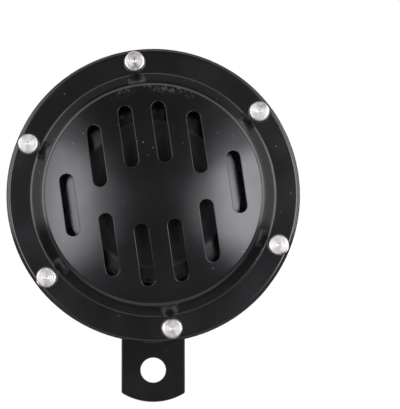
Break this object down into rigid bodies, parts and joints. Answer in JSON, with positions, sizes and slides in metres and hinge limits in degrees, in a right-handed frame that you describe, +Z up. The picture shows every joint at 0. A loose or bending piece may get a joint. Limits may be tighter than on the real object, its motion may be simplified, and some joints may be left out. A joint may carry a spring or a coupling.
{
  "type": "car horn",
  "caption": "Flat round electric horn: domed slotted cover riveted to a pressed housing, with blade terminals, a tuning screw and a flat mounting bracket.",
  "frame": {"origin": "centre of the bracket's hole, on the bracket's rear face", "axes": "+Z up along the bracket towards the horn, -Y forward out of the grille, +X to the right seen from the front"},
  "size_m": [0.096, 0.0423, 0.1171],
  "materials": {
    "black_paint": "semi-gloss black paint over pressed steel",
    "bare_aluminium": "turned aluminium",
    "yellow_zinc": "yellow chromate zinc plate",
    "copper_plate": "satin copper plate",
    "black_moulding": "matt black moulded plastic",
    "zinc_plate": "bright zinc plate",
    "spring_steel": "rolled spring steel",
    "soft_iron": "turned soft iron",
    "gasket_paper": "oiled gasket paper",
    "enamelled_copper": "enamelled copper wire",
    "natural_nylon": "natural nylon",
    "fibre_board": "red-brown vulcanised fibre",
    "contact_metal": "tungsten",
    "brass": "turned brass"
  },
  "bodies": {
    "horn_case": {"front_grille_cover": "black_paint", "front_gasket": "gasket_paper", "diaphragm": "spring_steel", "rear_gasket": "gasket_paper", "rear_housing": "black_paint", "flange_rivets": "bare_aluminium", "pole_core": "zinc_plate", "coil_bobbin": "natural_nylon", "coil_winding": "enamelled_copper", "yoke_plate": "soft_iron", "coil_leads": "enamelled_copper", "fixed_contact_arm": "spring_steel", "fixed_contact_point": "contact_metal", "moving_contact_point": "contact_metal", "moving_contact_leaf": "spring_steel", "leaf_push_pad": "fibre_board", "arm_insulators": "fibre_board", "arm_rivet": "zinc_plate", "terminal_block": "black_moulding", "upper_terminal_blade": "copper_plate", "lower_terminal_blade": "copper_plate", "terminal_rivets": "zinc_plate", "inner_insulator": "fibre_board", "terminal_spacers": "brass", "coil_tag": "brass", "mounting_bracket": "black_paint", "spring_washer": "zinc_plate", "stud_nut": "zinc_plate"},
    "armature_set": {"armature": "soft_iron", "diaphragm_washer": "zinc_plate", "tone_disc": "black_paint", "armature_nut": "zinc_plate"},
    "tuning_screw": {"adjusting_screw": "yellow_zinc"}
  },
  "joints": [
    {"name": "armature_stroke", "type": "slide", "parent": "horn_case", "child": "armature_set", "axis": [0, 1, 0], "range_m": [-0.0004, 0.0006], "stiffness_N_per_m": 4000, "deforming": ["diaphragm", "moving_contact_leaf", "leaf_push_pad"]},
    {"name": "tuning_turn", "type": "hinge", "parent": "horn_case", "child": "tuning_screw", "pos_m": [-0.00373, -0.0125, 0.08504], "axis": [0, 1, 0], "range_deg": [-90, 90]}
  ]
}
